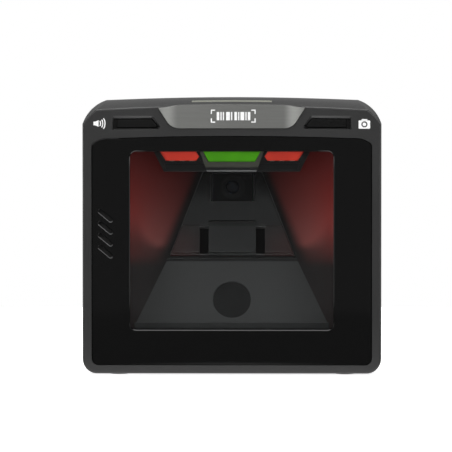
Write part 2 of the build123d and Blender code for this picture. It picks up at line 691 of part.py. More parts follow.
def brow_leds():
    span = (BROW_BOARD_Y - LED_THICK, BROW_BOARD_Y)
    return Compound([block((x - 1.4, x + 1.4), span, (BROW_Z - 1.4, BROW_Z + 1.4)) for x in (-12, 0, 12)])


# ---- Main board and ports ----


def main_board():
    board = block((-BOARD_X, BOARD_X), BOARD_Y, (BOARD_Z, BOARD_TOP))
    board = fillet(board.edges().filter_by(Axis.Z), 2.0)
    return board - joined([post(x, y, 1.3, 0, 20) for x, y in STANDOFFS])


def board_chips():
    z = BOARD_TOP
    chips = [
        block((-7, 7), (-8, 6), (z, z + 1.4)),
        block((11, 20), (-7, 5), (z, z + 1.1)),
        block((-21, -12), (-9, 0), (z, z + 1.1)),
        block((-30, -25), (4, 9), (z, z + 0.9)),
    ]
    return Compound(chips)


def board_capacitors():
    z = BOARD_TOP
    return Compound([post(x, y, 2.5, z, z + 6.5) for x, y in ((-32, 16), (-32, 22), (32, 8))])


def shield_can():
    z = BOARD_TOP
    can = block((-10, 10), (9, 21), (z, z + 3.2)) - block((-9.7, 9.7), (9.3, 20.7), (z - 1, z + 2.9))
    return can


def port(x):
    """A modular jack: a shell with a cavity for an eight-position plug and its latch."""
    z = BOARD_TOP
    shell = block((x - PORT_W / 2, x + PORT_W / 2), PORT_Y, (z, z + PORT_H))
    shell = fillet(shell.edges().filter_by(Axis.Y), 0.5)
    mouth = (PORT_Y[1] - 13.0, PORT_Y[1] + 1)
    plug = block((x - 5.9, x + 5.9), mouth, (z + 4.4, z + 11.4))
    latch = block((x - 3.2, x + 3.2), mouth, (z + 2.9, z + 4.4))
    return shell - plug - latch


def port_contacts():
    y0, y1 = PORT_Y[1] - 12.6, PORT_Y[1] - 3.5
    z = BOARD_TOP + 11.4
    pins = []
    for x in (-PORT_X, PORT_X):
        for i in range(8):
            middle = x + 1.02 * (i - 3.5)
            pins.append(block((middle - 0.22, middle + 0.22), (y0, y1), (z - 0.35, z)))
    return Compound(pins)


def board_connectors():
    z = BOARD_TOP
    places = [(-27.5, -10, 8, 4, 4), (31.5, -11, 6, 4, 4), (23.5, -11, 8, 4, 4), (0, FLEX_Y, 14, 3.0, 2.2)]
    return Compound([Pos(x, y, z + h / 2) * Box(w, d, h) for x, y, w, d, h in places])


# ---- Wiring inside the case ----


def wire(points, radii, radius):
    path = FilletPolyline(*points, radius=radii)
    start = Plane(origin=path @ 0, z_dir=path % 0)
    return sweep(start * Circle(radius), path=path)


def camera_flex():
    """A flat cable from the camera's board down to the main board."""
    y_top = CAMERA_Y + CAMERA_LENGTH + 1.2
    z_top = CAMERA_Z - 10
    path = FilletPolyline(
        (0, y_top - 0.6, z_top),
        (0, y_top - 0.6, 66),
        (0, -2, 44),
        (0, FLEX_Y, 30),
        (0, FLEX_Y, BOARD_TOP + 2.2),
        radius=[14, 12, 8],
    )
    start = Plane(origin=path @ 0, x_dir=(1, 0, 0), z_dir=path % 0)
    return sweep(start * Rectangle(11, 0.3), path=path)


def speaker_cable():
    y, z = SPEAKER_Y + SPEAKER_DEPTH, SPEAKER_Z - 12
    route = [(SPEAKER_X, y, z), (SPEAKER_X, y + 8, z), (-58, -14, 36), (-38, -11, 24)]
    route += [(-27.5, -10, 24), (-27.5, -10, BOARD_TOP + 4)]
    return wire(route, [4, 12, 8, 4], 0.9)


def brow_cable():
    y = BROW_BOARD_Y + BOARD
    route = [(22, y, BROW_Z), (22, y + 10, BROW_Z), (24, -2, 112), (24, 6, 60), (23.5, -11, 28)]
    route += [(23.5, -11, BOARD_TOP + 4)]
    return wire(route, [6, 10, 24, 8], 0.9)


def lighting_cable():
    y, z = BAR_BACK, BASE + 110.0
    route = [(27, y, z), (27, y + 2.5, z), (27, y + 2.5, WINDOW_TOP + 5), (33, -8, WINDOW_TOP)]
    route += [(34, 0, 70), (31.5, -11, 30), (31.5, -11, BOARD_TOP + 4)]
    return wire(route, [2.4, 3.6, 12, 24, 8], 0.9)


# ---- Fasteners, feet and inserts ----


def case_screws():
    return Compound([screw(x, z, SEAT_Y, 16, 1.25, 2.9, 2.2) for x, z in CASE_SCREWS])


def chamber_screws():
    seat = MASK_BACK + LEDGE + CHAMBER_POST + 1.6
    return Compound([screw(x, z, seat, 6, 1.0, 2.2, 1.5) for x, z in CHAMBER_SCREWS])


def brow_screws():
    return Compound([screw(x, z, BROW_BOARD_Y + BOARD, 5, 0.8, 1.8, 1.2) for x, z in BROW_SCREWS])


def board_screws():
    one = screw(0, 0, 0, 4.8, 0.9, 2.2, 1.5)
    upright = Rot(90, 0, 0) * one
    return Compound([Pos(x, y, BOARD_TOP) * upright for x, y in STANDOFFS])


def deck_screws():
    one = Rot(180, 0, 0) * Rot(90, 0, 0) * screw(0, 0, 0, 4.6, 0.95, 1.9, 1.3)
    return Compound([DECK_PLANE.location * Pos(x, y, DECK_SEAT) * one for x, y in DECK_SCREWS])


def sensor_screws():
    one = Rot(90, 0, 0) * screw(0, 0, 0, 5.0, 0.7, 1.6, 0.9)
    flip = Rot(180, 0, 0)
    return Compound([RAMP_PLANE.location * Pos(x, 0, -9.2) * flip * one for x in SENSOR_SCREWS])


def mounting_inserts():
    """Brass threaded inserts in the underside, open at the bottom."""
    sleeves = []
    for x, y in INSERTS:
        body = post(x, y, 2.8, BASE, BOARD_Z - 1.6) - post(x, y, INSERT_CORE, 0, BOARD_Z)
        groove = post(x, y, 3.0, BASE + 2.2, BASE + 3.0) - post(x, y, 2.55, BASE + 2.2, BASE + 3.0)
        sleeves.append(body - groove)
    return Compound(sleeves)


def rubber_feet():
    feet = []
    for x, y in FEET:
        foot = post(x, y, FOOT_R, 0, BASE + 1.2)
        feet.append(chamfer(foot.faces().sort_by(Axis.Z)[0].edges(), 0.4))
    return Compound(feet)


def main():
    outer, inner = form(), form(WALL)
    nodes = {
        "front_bezel": front_bezel(outer, inner),
        "rear_housing": rear_housing(outer, inner),
        "housing_seal": housing_seal(),
        "nameplate": nameplate(),
        "status_light_pipe": status_light_pipe(outer),
        "front_mask": front_mask(),
        "scan_window": scan_window(),
        "window_gasket": window_gasket(),
        "speaker_mesh": speaker_mesh(),
        "speaker_gasket": speaker_gasket(),
        "speaker_frame": speaker_frame(),
        "speaker_cone": speaker_cone(),
        "optics_chamber": optics_chamber(),
        "camera_deck": camera_deck(),
        "sensor_window": sensor_window(),
        "sensor_board": sensor_board(),
        "sensor_chip": sensor_chip(),
        "light_bar_housing": light_bar_housing(),
        "left_red_lens": bar_lens("red"),
        "right_red_lens": mirrored(bar_lens("red")),
        "green_lens": bar_lens("green"),
        "led_board": led_board(),
        "lighting_leds": lighting_leds(),
        "camera_body": camera_body(),
        "camera_barrel": camera_barrel(),
        "camera_lens": camera_lens(),
        "camera_board": camera_board(),
        "camera_bracket": camera_bracket(),
        "camera_screws": camera_screws(),
        "volume_key": key(),
        "volume_plunger": switch_plunger(),
        "volume_switch": switch_body(),
        "snapshot_key": mirrored(key()),
        "snapshot_plunger": mirrored(switch_plunger()),
        "snapshot_switch": mirrored(switch_body()),
        "brow_board": brow_board(),
        "brow_leds": brow_leds(),
        "main_board": main_board(),
        "board_chips": board_chips(),
        "board_capacitors": board_capacitors(),
        "shield_can": shield_can(),
        "board_connectors": board_connectors(),
        "host_port": port(-PORT_X),
        "aux_port": port(PORT_X),
        "port_contacts": port_contacts(),
        "camera_flex": camera_flex(),
        "speaker_cable": speaker_cable(),
        "brow_cable": brow_cable(),
        "lighting_cable": lighting_cable(),
        "case_screws": case_screws(),
        "chamber_screws": chamber_screws(),
        "brow_screws": brow_screws(),
        "board_screws": board_screws(),
        "deck_screws": deck_screws(),
        "sensor_screws": sensor_screws(),
        "mounting_inserts": mounting_inserts(),
        "rubber_feet": rubber_feet(),
    }
    os.makedirs("parts", exist_ok=True)
    for name, shape in nodes.items():
        export_step(shape, f"parts/{name}.step")


main()
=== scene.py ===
"""Upright counter-top barcode scanner: finishes, printed marks and small parts, stage, lights and camera."""
import json
import math

import bmesh
import bpy
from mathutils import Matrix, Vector

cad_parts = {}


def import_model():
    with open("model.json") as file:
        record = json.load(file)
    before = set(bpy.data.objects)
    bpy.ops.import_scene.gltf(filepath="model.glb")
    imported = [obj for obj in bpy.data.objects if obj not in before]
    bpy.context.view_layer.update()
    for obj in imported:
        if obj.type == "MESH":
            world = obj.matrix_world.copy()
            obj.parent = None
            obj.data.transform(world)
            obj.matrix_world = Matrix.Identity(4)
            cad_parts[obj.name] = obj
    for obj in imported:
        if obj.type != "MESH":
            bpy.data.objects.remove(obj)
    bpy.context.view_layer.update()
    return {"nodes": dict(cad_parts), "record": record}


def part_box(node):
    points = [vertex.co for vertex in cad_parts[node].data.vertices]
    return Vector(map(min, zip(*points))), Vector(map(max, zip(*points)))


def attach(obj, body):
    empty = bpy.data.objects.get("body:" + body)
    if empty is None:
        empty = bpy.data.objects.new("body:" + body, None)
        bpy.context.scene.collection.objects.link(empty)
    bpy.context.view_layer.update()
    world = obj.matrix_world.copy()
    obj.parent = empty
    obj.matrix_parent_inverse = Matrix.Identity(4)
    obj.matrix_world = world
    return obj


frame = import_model()
MM = 0.001

# ---- Places taken from the frame ----

HOST = "scanner"
BEZEL_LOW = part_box("front_bezel")[0]
MASK_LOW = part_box("front_mask")[0]
PLATE_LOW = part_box("nameplate")[0]
BAR_LOW, BAR_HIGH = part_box("light_bar_housing")
HOUSING_LOW, HOUSING_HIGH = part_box("rear_housing")
LENS_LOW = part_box("green_lens")[0][2]
FRONT = BEZEL_LOW[1]
WINDOW_TOP = BAR_HIGH[2]
SILL = BEZEL_LOW[2] + 22.3 * MM

# ---- Places on the parts, from the drawing ----

DECK_LOW = 60.2 * MM  # height of the fold between the ramp and the camera deck
DECK_HALF = 32.7 * MM  # half the deck's width at the fold
DECK_TAPER = 20.9 * MM  # how much narrower each half is at the window's top
BLOCK_HALF = 12.2 * MM  # half the width of the deck's middle block
PAD_INNER = 17.1 * MM  # where the deck's outer pads begin
SLOT_TOP = 76.5 * MM

# ---- The light bar's glow on the chamber's walls ----

GLOW = 1.1
GLOW_LOW = 65.0 * MM  # the beam's lower edge beside the deck
GLOW_INNER = 36.0 * MM
GLOW_HALF = 40 * MM
RED_ENDS = ((33.9, 31.6), (14.0, 16.6))
GREEN_ENDS = ((12.2, 11.2),)

RAMP_ALBEDO = 0.052
WALL_ALBEDO = 0.018
# painted shade in the gap and groove at the fold between ramp and deck, each (lowest mm, highest mm, factor)
FOLD_SHADE = ((57.5, 58.4, 0.25), (58.5, 58.95, 0.8), (59.1, 61.5, 0.12))


# ---- Shader helpers ----


class Finish:
    """A procedural material in the making: adds nodes and wires them up."""

    def __init__(self, name):
        self.material = bpy.data.materials.new(name)
        self.material.use_nodes = True
        self.tree = self.material.node_tree
        self.tree.nodes.clear()
        self.place = self.add("TexCoord").outputs["Object"]

    def add(self, kind, inputs=None, **settings):
        node = self.tree.nodes.new("ShaderNode" + kind)
        for name, value in settings.items():
            setattr(node, name, value)
        for name, value in (inputs or {}).items():
            if isinstance(value, bpy.types.NodeSocket):
                self.tree.links.new(value, node.inputs[name])
            else:
                node.inputs[name].default_value = value
        return node

    def math(self, operation, *values, clamp=False):
        inputs = dict(enumerate(values))
        return self.add("Math", inputs, operation=operation, use_clamp=clamp).outputs[0]

    def product(self, first, *others):
        for value in others:
            first = self.math("MULTIPLY", first, value)
        return first

    def noise(self, scale, detail=3.0, roughness=0.5, place=None):
        inputs = {"Vector": place or self.place, "Scale": scale, "Detail": detail, "Roughness": roughness}
        return self.add("TexNoise", inputs).outputs["Fac"]

    def pits(self):
        """The fine pits that a spark-eroded mould leaves."""
        return self.noise(1400.0, 3.0, 0.6)

    def remap(self, value, low, high, to_low=0.0, to_high=1.0, smooth=False):
        kind = "SMOOTHSTEP" if smooth else "LINEAR"
        inputs = {"Value": value, "From Min": low, "From Max": high, "To Min": to_low, "To Max": to_high}
        return self.add("MapRange", inputs, interpolation_type=kind).outputs["Result"]

    def above(self, value, edge, soft):
        """1 where value is over edge, 0 under it, with a soft step."""
        return self.remap(value, edge - soft, edge + soft)

    def below(self, value, edge, soft):
        return self.remap(value, edge + soft, edge - soft)

    def band(self, value, low, high, soft=0.12 * MM):
        """1 where value lies between low and high, 0 elsewhere, with soft ends."""
        return self.product(self.above(value, low, soft), self.below(value, high, soft))

    def toned(self, shade, region, factor):
        """shade, times factor where region is 1."""
        return self.product(shade, self.remap(region, 0.0, 1.0, 1.0, factor))

    def scaled(self, colour, factor):
        return self.add("VectorMath", {0: colour, "Scale": factor}, operation="SCALE").outputs[0]

    def axes(self, vector=None):
        split = self.add("SeparateXYZ", {"Vector": vector or self.place})
        return split.outputs[0], split.outputs[1], split.outputs[2]

    def normal(self, kind="Normal"):
        return self.axes(self.add("NewGeometry").outputs[kind])

    def stretch(self, x, y, z):
        inputs = {"Vector": self.place, "Scale": (x, y, z)}
        return self.add("Mapping", inputs).outputs["Vector"]

    def mix(self, factor, a, b):
        node = self.tree.nodes.new("ShaderNodeMix")
        node.data_type = "RGBA"
        usable = [s for s in node.inputs if s.type in ("RGBA", "VALUE") and s.enabled]
        for name, value in (("Factor", factor), ("A", a), ("B", b)):
            socket = [s for s in usable if s.name == name][0]
            if isinstance(value, bpy.types.NodeSocket):
                self.tree.links.new(value, socket)
            else:
                socket.default_value = value
        return [s for s in node.outputs if s.type == "RGBA"][0]

    def soft_edge(self, radius):
        """Rounds sharp corners in the shading, as a mould's own small radii do."""
        return self.add("Bevel", {"Radius": radius * MM}, samples=4).outputs[0]

    def edge_mask(self, radius):
        """1 along edges and 0 on open faces, from how far the rounded normal leans from the true one."""
        rounded_off = self.add("Bevel", {"Radius": radius * MM}, samples=6).outputs[0]
        true = self.add("NewGeometry").outputs["True Normal"]
        facing = self.add("VectorMath", {0: rounded_off, 1: true}, operation="DOT_PRODUCT").outputs["Value"]
        return self.remap(self.math("SUBTRACT", 1.0, facing), 0.02, 0.22)

    def bump(self, height, strength, distance, normal=None):
        inputs = {"Height": height, "Strength": strength, "Distance": distance}
        if normal:
            inputs["Normal"] = normal
        return self.add("Bump", inputs).outputs[0]

    def principled(self, **values):
        inputs = {name.replace("_", " "): value for name, value in values.items()}
        return self.add("BsdfPrincipled", inputs).outputs[0]

    def done(self, surface):
        self.add("OutputMaterial", {"Surface": surface})
        return self.material


def rgb(red, green, blue):
    return (red, green, blue, 1.0)


def grey(value):
    return (value, value, value, 1.0)


# ---- Finishes ----

GRAIN_SIZE = 0.35 * MM


def moulded(name, colour, roughness, grain=0.06, sheen=0.5, rim=None):
    """Moulded plastic with a spark-eroded texture: fine pits, uneven sheen, edges rubbed smoother and
    painted lighter as a highlight.

    rim is the Y of a front face whose rounded and bevelled border is left glossy from the mould and painted
    lighter as a highlight.
    """
    f = Finish(name)
    fine = f.noise(0.5 / GRAIN_SIZE, 3.0, 0.6)
    broad = f.noise(28.0, 3.0, 0.5)
    base = f.scaled(colour[:3], f.remap(broad, 0.3, 0.7, 0.93, 1.07))
    rough = f.math(
        "ADD",
        f.remap(broad, 0.3, 0.7, -0.03, 0.03),
        f.remap(fine, 0.2, 0.8, roughness - 0.06, roughness + 0.06),
    )
    rub_and_highlight = f.edge_mask(0.32)
    rough = f.math("SUBTRACT", rough, f.product(rub_and_highlight, 0.12), clamp=True)
    # painted highlight: the base colour is lighter along edges
    base = f.scaled(base, f.remap(rub_and_highlight, 0.0, 1.0, 1.0, 1.6))
    strength = 1.0
    if rim is not None:
        lean = f.math("ABSOLUTE", f.normal()[1])
        in_front = f.below(f.axes()[1], rim + 1.075 * MM, 0.075 * MM)
        rim_gloss_and_highlight = f.product(in_front, f.remap(lean, 0.995, 0.97))
        rough = f.toned(rough, rim_gloss_and_highlight, 0.36)
        strength = f.remap(rim_gloss_and_highlight, 0.0, 1.0, 1.0, 0.3)
        # painted highlight: the glossy rim's base colour is half as light again
        base = f.scaled(base, f.remap(rim_gloss_and_highlight, 0.0, 1.0, 1.0, 1.5))
    normal = f.bump(fine, strength, grain * MM, f.soft_edge(0.2))
    return f.done(f.principled(Base_Color=base, Roughness=rough, Normal=normal, Specular_IOR_Level=sheen))


def polish(f, roughness):
    """Roughness and normal of gloss plastic: a trace of wiping marks, and faint waviness from the mould."""
    wave = f.noise(60.0, 1.0)
    wipe = f.noise(900.0, 2.0, 0.6, f.stretch(0.15, 1.0, 1.0))
    rough = f.remap(wipe, 0.35, 0.75, roughness, roughness + 0.04)
    return rough, f.bump(wave, 0.08, 0.05 * MM, f.soft_edge(0.15))


def polished(name, colour, roughness=0.03, sheen=0.5):
    f = Finish(name)
    rough, normal = polish(f, roughness)
    return f.done(f.principled(Base_Color=colour, Roughness=rough, Normal=normal, Specular_IOR_Level=sheen))


def mask_gloss(name):
    """Gloss black; the window's cut rim is duller, and a painted highlight makes the up-facing lower edges
    of the speaker slots pale.
    """
    f = Finish(name)
    x, y, z = f.axes()
    across, _, up = f.normal()
    on_rim = f.below(y, MASK_LOW[1] + 0.65 * MM, 0.05 * MM)
    faces_up = f.above(up, 0.3, 0.1)
    faces_down = f.below(up, -0.3, 0.1)
    faces_aside = f.above(f.math("ABSOLUTE", across), 0.3, 0.1)
    middle = f.remap(f.math("ABSOLUTE", x), 49 * MM, 43 * MM, smooth=True)
    below_corner = f.remap(z, WINDOW_TOP - 4 * MM, WINDOW_TOP - 9 * MM, smooth=True)
    dull = f.math(
        "ADD",
        f.product(f.above(z, 92.5 * MM, 2.5 * MM), middle, faces_down, 0.46),
        f.product(f.below(z, 65 * MM, 5 * MM), on_rim, faces_up, 0.18),
    )
    dull = f.math("ADD", dull, f.product(faces_aside, on_rim, below_corner, 0.29))
    # painted highlight: the up-facing lower rims of the speaker slots are pale grey and rough
    slot_rim_highlight = f.product(on_rim, f.below(x, -57.5 * MM, 0.5 * MM), faces_up)
    rough, normal = polish(f, 0.03)
    return f.done(
        f.principled(
            Base_Color=f.mix(slot_rim_highlight, grey(0.0028), grey(0.09)),
            Roughness=f.mix(slot_rim_highlight, rough, grey(0.4)),
            Normal=normal,
            Specular_IOR_Level=f.math("SUBTRACT", 0.5, f.math("MINIMUM", dull, 0.5)),
        )
    )


def clear_pane(name):
    """Coated clear sheet: light passes straight through, and Fresnel adds the reflection."""
    f = Finish(name)
    smear = f.noise(45.0, 4.0, 0.6)
    rough = f.remap(smear, 0.3, 0.8, 0.015, 0.05)
    gloss = f.add("BsdfGlossy", {"Color": grey(0.9), "Roughness": rough}).outputs[0]
    through = f.add("BsdfTransparent", {"Color": rgb(0.93, 0.94, 0.94)}).outputs[0]
    edge = f.product(f.add("Fresnel", {"IOR": 1.45}).outputs[0], 0.6)
    return f.done(f.add("MixShader", {0: edge, 1: through, 2: gloss}).outputs[0])


def wall_glow(f, x, z, away, on_wall):
    """Hue and strength of the red glow that the light bar throws on the chamber's side walls.

    It strengthens down each wall, fades towards the back, stops at the edge of the bar's beam
    and leaves a dark margin beside the camera deck.
    """
    level = f.remap(z, WINDOW_TOP, GLOW_LOW, 0.022, 0.116)
    spread = f.remap(away, 15 * MM, 52 * MM, 0.12, 1.36)
    outer = f.remap(away, GLOW_INNER, GLOW_INNER + 13 * MM)
    outer = f.product(outer, outer)
    climb = f.remap(x, -GLOW_HALF, GLOW_HALF, 9 * MM, 6 * MM)
    beam_edge = f.math("ADD", GLOW_LOW, f.product(outer, climb))
    softness = f.math("ADD", 2.4 * MM, f.product(outer, 8.0 * MM))
    over_edge = f.math("DIVIDE", f.math("SUBTRACT", z, beam_edge), softness)
    cut = f.remap(over_edge, -1.0, 1.0, 0.26, 1.0, smooth=True)
    tail = f.remap(z, GLOW_LOW - 11 * MM, GLOW_LOW - 1.5 * MM, 0.06, 1.0, smooth=True)
    deck_edge = f.remap(z, DECK_LOW, WINDOW_TOP, DECK_HALF, DECK_HALF - DECK_TAPER)
    fade = f.remap(z, DECK_LOW, WINDOW_TOP, 8.5 * MM, 5.0 * MM)
    margin = f.remap(f.math("SUBTRACT", away, deck_edge), 0.6 * MM, fade, smooth=True)
    bias = f.remap(x, -GLOW_HALF, GLOW_HALF, 0.96, 1.16)
    pale = f.product(f.remap(z, WINDOW_TOP, GLOW_LOW), f.remap(outer, 0.0, 1.0, 1.0, 0.6))
    hue = f.mix(pale, rgb(1.0, 0.025, 0.015), rgb(1.0, 0.27, 0.24))
    return hue, f.product(level, spread, cut, tail, margin, bias, on_wall, GLOW)


def chamber_skin(name):
    """Matte black plastic; its side walls carry the red glow of the light bar, and painted shade darkens the
    upper walls, the ramp's sides, the foot of the sill and the fold.
    """
    f = Finish(name)
    x, _, z = f.axes()
    away = f.math("ABSOLUTE", x)
    on_wall = f.above(f.math("ABSOLUTE", f.normal()[0]), 0.4, 0.1)
    hue, glow = wall_glow(f, x, z, away, on_wall)
    fine = f.pits()
    # painted shade: the side walls darken towards the top, under the light bar
    wall = f.mix(f.remap(z, 50 * MM, 92 * MM), grey(WALL_ALBEDO), grey(0.2 * WALL_ALBEDO))
    base = f.mix(on_wall, grey(RAMP_ALBEDO), wall)
    # painted shade: the ramp darkens towards the side walls
    shade = f.remap(away, 18 * MM, 46 * MM, 1.12, f.remap(on_wall, 0.0, 1.0, 0.8, 1.12), smooth=True)
    # painted shade along the sill: a dark crease at its foot and a slightly darker band above it
    shade = f.product(shade, f.remap(z, SILL, SILL + 0.9 * MM, 0.15, 1.0, smooth=True))
    shade = f.product(shade, f.remap(z, SILL + 3.1 * MM, SILL + 3.5 * MM, 0.86, 1.0))
    off_wall = f.math("SUBTRACT", 1.0, on_wall)
    # painted shade in the gap and groove at the fold between the ramp and the deck
    for low, high, factor in FOLD_SHADE:
        shade = f.toned(shade, f.product(off_wall, f.band(z, low * MM, high * MM)), factor)
    return f.done(
        f.principled(
            Base_Color=f.scaled(base, shade),
            Roughness=f.remap(fine, 0.2, 0.8, 0.42, 0.54),
            Normal=f.bump(fine, 0.6, 0.03 * MM, f.soft_edge(0.2)),
            Specular_IOR_Level=0.15,
            Emission_Color=hue,
            Emission_Strength=glow,
        )
    )


def deck_plastic(name, albedo):
    """The camera deck: matte black, its outer panes tinged by the red light on the walls beside them;
    painted highlights on its edges and pad tops, painted shade towards the top and above the middle block,
    painted light in the slots and along the lowest strip.
    """
    f = Finish(name)
    x, _, z = f.axes()
    away = f.math("ABSOLUTE", x)
    up = f.normal()[2]
    fine = f.pits()
    # painted highlight: edges lighter than the open faces
    base = f.mix(f.product(f.edge_mask(0.3), 0.5), grey(albedo), grey(4 * albedo))
    between = f.band(away, BLOCK_HALF + 0.1 * MM, PAD_INNER - 0.1 * MM)
    slot = f.product(between, f.below(z, SLOT_TOP, 0.5 * MM))
    block = f.below(away, BLOCK_HALF, 0.1 * MM)
    pad = f.above(away, PAD_INNER, 0.1 * MM)
    pad_top_highlight = f.product(pad, f.above(up, 0.575, 0.125))
    # painted shade: darker towards the top, under the light bar
    shade = f.remap(z, 84 * MM, 104 * MM, 1.0, 0.55, smooth=True)
    # rows: painted light in the slots; painted highlight along the block's lowest strip; the middle block a
    # little lighter; painted shadow above the block; painted highlight along the pads' lowest strip; painted
    # highlight on the pads' up-facing tops
    for region, low, high, factor in (
        (slot, 60.0, 90.0, 2.6),
        (block, 60.0, 62.9, 1.9),
        (block, 62.9, 75.8, 1.16),
        (block, 75.8, 77.6, 0.5),
        (pad, 60.0, 62.9, 1.5),
        (pad_top_highlight, 73.0, 80.0, 2.6),
    ):
        shade = f.toned(shade, f.product(region, f.band(z, low * MM, high * MM)), factor)
    outer = f.remap(away, 11 * MM, 26 * MM, smooth=True)
    lower = f.remap(z, 80 * MM, 66 * MM, smooth=True)
    return f.done(
        f.principled(
            Base_Color=f.scaled(base, shade),
            Roughness=f.remap(fine, 0.2, 0.8, 0.40, 0.52),
            Normal=f.bump(fine, 0.6, 0.03 * MM, f.soft_edge(0.2)),
            Specular_IOR_Level=0.2,
            Emission_Color=rgb(1.0, 0.10, 0.08),
            Emission_Strength=f.product(outer, lower, 0.011),
        )
    )


def bar_plastic(name):
    """The light bar's black plastic; the frame round the green lens is moulded in a lighter grey. Painted
    highlights lighten its edges and the lowest strip of the frame and of the rest of the bar.
    """
    f = Finish(name)
    _, y, z = f.axes()
    front, bottom = BAR_LOW[1], BAR_LOW[2]
    fine = f.pits()
    frame_part = f.below(y, front + 1.1 * MM, 0.05 * MM)
    # painted highlight along the frame's lower edge
    frame_lip_highlight = f.below(z, bottom + 0.775 * MM, 0.075 * MM)
    # painted highlight along the lower edge of the rest of the bar
    low_lip_highlight = f.below(z, bottom + 0.55 * MM, 0.05 * MM)
    under_lens = f.remap(z, bottom + 1.7 * MM, bottom + 2.9 * MM, smooth=True)
    # painted highlight: edges are lighter
    body = f.mix(f.product(f.edge_mask(0.3), 0.6), f.mix(low_lip_highlight, grey(0.003), grey(0.02)), grey(0.04))
    front_face = f.mix(under_lens, grey(0.015), rgb(0.074, 0.074, 0.056))
    return f.done(
        f.principled(
            Base_Color=f.mix(frame_part, body, f.mix(frame_lip_highlight, front_face, grey(0.21))),
            Specular_IOR_Level=0.3,
            Roughness=f.remap(fine, 0.2, 0.8, 0.38, 0.48),
            Normal=f.bump(fine, 0.5, 0.03 * MM, f.soft_edge(0.2)),
        )
    )


def lens(name, base, light, strength, ends):
    """Tinted lens with a light behind it: prisms across its face, glow falling off towards its edges.

    ends gives the |x| of the inner and the outer end in mm; each is a pair (unlit, fully lit).
    """
    f = Finish(name)
    x, _, z = f.axes()
    slant = f.remap(z, LENS_LOW, WINDOW_TOP, 0.0, 3.1 * MM)
    away = f.math("SUBTRACT", f.math("ABSOLUTE", x), slant)
    prism = f.math("PINGPONG", z, 0.45 * MM)
    level = f.remap(f.noise(120.0, 1.0), 0.35, 0.65, 0.9 * strength, 1.1 * strength)
    for dark, lit in ends:
        level = f.product(level, f.remap(away, dark * MM, lit * MM, 0.4, 1.0, smooth=True))
    at_bottom = f.remap(z, LENS_LOW, LENS_LOW + 1.5 * MM, 0.55, 1.0, smooth=True)
    at_top = f.remap(z, WINDOW_TOP, WINDOW_TOP - 1.4 * MM, 0.75, 1.0, smooth=True)
    return f.done(
        f.principled(
            Base_Color=base,
            Roughness=0.16,
            Normal=f.bump(prism, 0.25, 0.3 * MM),
            Emission_Color=light,
            Emission_Strength=f.product(level, at_bottom, at_top),
            Coat_Weight=0.4,
            Coat_Roughness=0.05,
        )
    )


def frosted(name, colour, glow):
    """Milky plastic with a weak light behind it."""
    f = Finish(name)
    fine = f.noise(1600.0, 2.0)
    return f.done(
        f.principled(
            Base_Color=colour,
            Roughness=0.38,
            Normal=f.bump(fine, 0.3, 0.02 * MM),
            Subsurface_Weight=0.25,
            Subsurface_Radius=(0.002, 0.002, 0.0015),
            Emission_Color=colour,
            Emission_Strength=glow,
        )
    )


def satin_metal(name, colour, roughness, metallic=1.0):
    """Painted or plated metal with a fine directional grain."""
    f = Finish(name)
    streak = f.noise(700.0, 3.0, 0.6, f.stretch(1.0, 1.0, 14.0))
    return f.done(
        f.principled(
            Base_Color=f.scaled(colour[:3], f.remap(streak, 0.25, 0.75, 0.95, 1.05)),
            Roughness=f.remap(streak, 0.25, 0.75, roughness - 0.05, roughness + 0.07),
            Metallic=metallic,
            Normal=f.bump(streak, 0.15, 0.02 * MM),
        )
    )


def badge_metal(name):
    """Satin silver plate: fine horizontal brushing, a painted reflection band near each of its two ends,
    stronger on the right, its left part a little lighter, and painted shade on its cut edges.
    """
    f = Finish(name)
    x = f.axes()[0]
    brush = f.noise(900.0, 3.0, 0.65, f.stretch(0.05, 1.0, 1.0))
    cloudy = f.noise(35.0, 2.0)
    away = f.math("ABSOLUTE", f.math("ADD", x, 0.6 * MM))
    # painted reflection: a bright band near each end of the plate, stronger on the right
    rise = f.remap(away, 26.5 * MM, 32 * MM, smooth=True)
    fall = f.remap(away, 33 * MM, 37.5 * MM, 1.0, 0.45, smooth=True)
    gain = f.remap(x, -30 * MM, 30 * MM, 0.72, 1.05)
    facing = f.math("ABSOLUTE", f.normal("True Normal")[1])
    level = f.product(
        f.math("ADD", 1.0, f.product(rise, fall, gain)),
        f.remap(x, -26 * MM, 8 * MM, 1.15, 1.0, smooth=True),
        f.remap(brush, 0.25, 0.75, 0.94, 1.06),
        # painted shade: faces turned away from the front, the cut edges, are darkened
        f.remap(facing, 0.8, 0.95, 0.25, 1.0),
    )
    return f.done(
        f.principled(
            Base_Color=f.scaled((0.176, 0.178, 0.170), level),
            Roughness=f.remap(cloudy, 0.3, 0.7, 0.32, 0.40),
            Metallic=0.5,
            Normal=f.bump(brush, 0.12, 0.02 * MM, f.soft_edge(0.25)),
        )
    )


def soft_rubber(name, colour):
    f = Finish(name)
    pores = f.noise(1800.0, 4.0, 0.65)
    rough = f.remap(pores, 0.2, 0.8, 0.68, 0.86)
    return f.done(f.principled(Base_Color=colour, Roughness=rough, Normal=f.bump(pores, 0.5, 0.05 * MM)))


def woven(name, colour):
    """Fine acoustic mesh: a weave of small round holes."""
    f = Finish(name)
    cell = f.add("TexVoronoi", {"Vector": f.place, "Scale": 1500.0, "Randomness": 0.0}).outputs["Distance"]
    base = f.mix(f.remap(cell, 0.25, 0.45), grey(0.003), colour)
    return f.done(f.principled(Base_Color=base, Roughness=0.6, Normal=f.bump(cell, 0.8, 0.1 * MM)))


def circuit(name):
    """Green solder mask with faint copper traces under it."""
    f = Finish(name)
    traces = f.add("TexBrick", {"Vector": f.place, "Scale": 220.0, "Mortar Size": 0.012}).outputs["Fac"]
    base = f.mix(traces, rgb(0.010, 0.085, 0.038), rgb(0.020, 0.15, 0.07))
    return f.done(f.principled(Base_Color=base, Roughness=0.3, Normal=f.bump(traces, 0.3, 0.03 * MM)))


